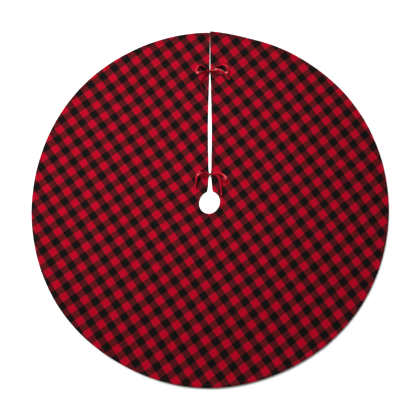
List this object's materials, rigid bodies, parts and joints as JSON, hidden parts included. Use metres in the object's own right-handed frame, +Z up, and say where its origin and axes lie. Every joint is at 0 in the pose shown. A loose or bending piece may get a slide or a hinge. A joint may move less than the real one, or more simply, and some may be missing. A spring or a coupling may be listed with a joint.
{
  "type": "christmas tree skirt",
  "caption": "Flat round checked tree skirt with a centre hole for the trunk and a slit to the rim, held shut by satin ribbon bows.",
  "frame": {"origin": "middle of the round cloth, on the surface that it lies on", "axes": "+Z up, square to the flat cloth; +Y from the centre hole along the slit to the rim; +X to the right of the slit"},
  "size_m": [1.2186, 1.2257, 0.0157],
  "materials": {
    "checked_cloth": "matt twill cloth in red and black checks",
    "satin_ribbon": "glossy red satin"
  },
  "bodies": {
    "root": {"skirt_cloth": "checked_cloth", "tie_upper_left": "satin_ribbon", "tie_upper_right": "satin_ribbon", "tie_lower_left": "satin_ribbon", "tie_lower_right": "satin_ribbon"}
  },
  "joints": []
}
